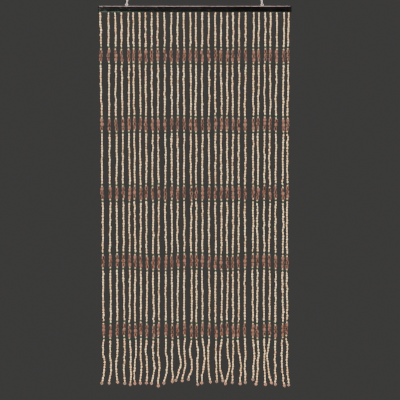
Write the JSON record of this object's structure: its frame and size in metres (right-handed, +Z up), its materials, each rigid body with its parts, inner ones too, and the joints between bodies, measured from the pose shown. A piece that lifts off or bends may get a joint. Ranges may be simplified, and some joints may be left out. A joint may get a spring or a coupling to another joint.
{
  "type": "bamboo bead door curtain with hanging bar and chains",
  "caption": "Strand curtain for a doorway: knobbly cream bamboo pieces with bands of beads and ovals, hung from a black bar on short chains.",
  "frame": {"origin": "middle of the hanging bar's top face", "axes": "+X along the bar to the viewer's right, +Y away from the viewer, +Z up"},
  "size_m": [0.9, 0.0268, 1.8414],
  "materials": {
    "black_lacquer": "glossy black lacquer on wood, rubbed pale along the arrises",
    "bamboo": "peeled cream bamboo twig, satin",
    "oval": "rose-brown shell, smooth",
    "cream_bead": "cream turned bead, satin",
    "green_disc": "grey-green, matt",
    "end_bead": "salmon shell, smooth",
    "string": "twisted cotton",
    "steel": "plain plated wire"
  },
  "bodies": {
    "root": {"bar": "black_lacquer", "strands": "bamboo", "left_screw_eye": "steel", "left_link_1": "steel", "left_link_2": "steel", "left_link_3": "steel", "left_end_ring": "steel", "right_screw_eye": "steel", "right_link_1": "steel", "right_link_2": "steel", "right_link_3": "steel", "right_end_ring": "steel"}
  },
  "joints": []
}
